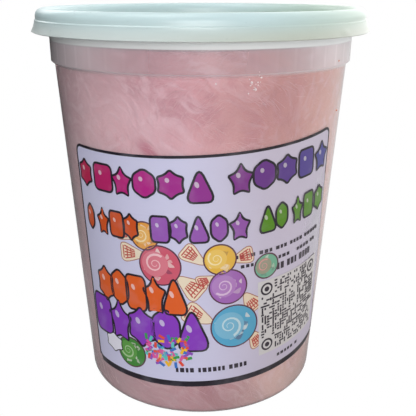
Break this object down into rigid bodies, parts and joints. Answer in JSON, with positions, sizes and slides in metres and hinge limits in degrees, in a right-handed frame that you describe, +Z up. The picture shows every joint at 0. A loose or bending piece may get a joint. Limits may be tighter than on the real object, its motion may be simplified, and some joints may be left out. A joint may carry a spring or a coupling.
{
  "type": "tub of cotton candy",
  "caption": "Round clear tapered tub packed with pink spun-sugar cotton candy, with a press-on lid and a colour label wrapped round the front.",
  "frame": {"origin": "on the tub's axis, in the plane of the foot ring that it stands on", "axes": "+Z up along the tub's axis, -Y towards the front, where the label is"},
  "size_m": [0.1182, 0.1182, 0.1393],
  "materials": {
    "clear_plastic": "clear smooth plastic with a fluted collar",
    "lid_plastic": "milky satin plastic",
    "spun_sugar": "soft matt fibres of spun sugar",
    "label_print": "printed satin sheet"
  },
  "bodies": {
    "root": {"tub": "clear_plastic", "lid": "lid_plastic", "cotton_candy": "spun_sugar", "label": "label_print"}
  },
  "joints": []
}
